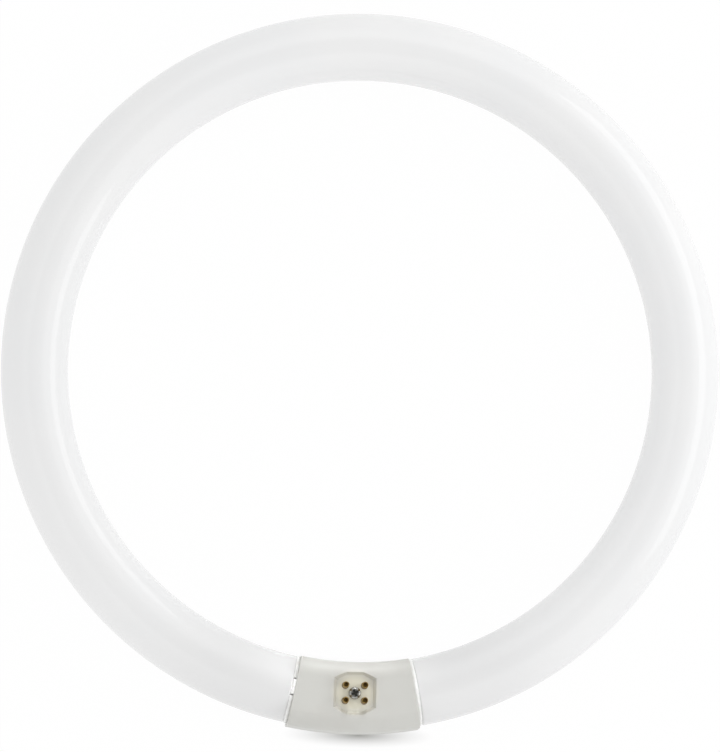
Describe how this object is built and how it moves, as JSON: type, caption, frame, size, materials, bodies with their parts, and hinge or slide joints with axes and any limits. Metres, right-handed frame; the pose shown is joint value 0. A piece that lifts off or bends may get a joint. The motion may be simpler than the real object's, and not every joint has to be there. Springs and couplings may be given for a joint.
{
  "type": "circular fluorescent tube",
  "caption": "Ring-shaped fluorescent lamp: a bent white glass tube whose ends meet in a moulded base cap that carries hollow contact pins in a shallow recess.",
  "frame": {"origin": "centre of the ring, on the surface that the lamp lies on with its pins up", "axes": "+Z through the ring towards the pin tips, -Y from the ring's centre to the base cap, X along the tube at the cap"},
  "size_m": [0.299, 0.3003, 0.0332],
  "materials": {
    "coated_glass": "glossy clear glass over a white powder coat",
    "cap_plastic": "satin moulded",
    "pin_brass": "dull drawn brass",
    "screw_steel": "dark plated steel",
    "lead_metal": "bare drawn wire",
    "sealant": "smooth, slightly lumpy"
  },
  "bodies": {
    "root": {"glass_tube": "coated_glass", "front_shell": "cap_plastic", "rear_shell": "cap_plastic", "contact_pin_1": "pin_brass", "contact_pin_2": "pin_brass", "contact_pin_3": "pin_brass", "contact_pin_4": "pin_brass", "clamp_screw": "screw_steel", "lead_wire_1": "lead_metal", "lead_wire_2": "lead_metal", "lead_wire_3": "lead_metal", "lead_wire_4": "lead_metal", "sealant_left": "sealant", "sealant_right": "sealant"}
  },
  "joints": []
}
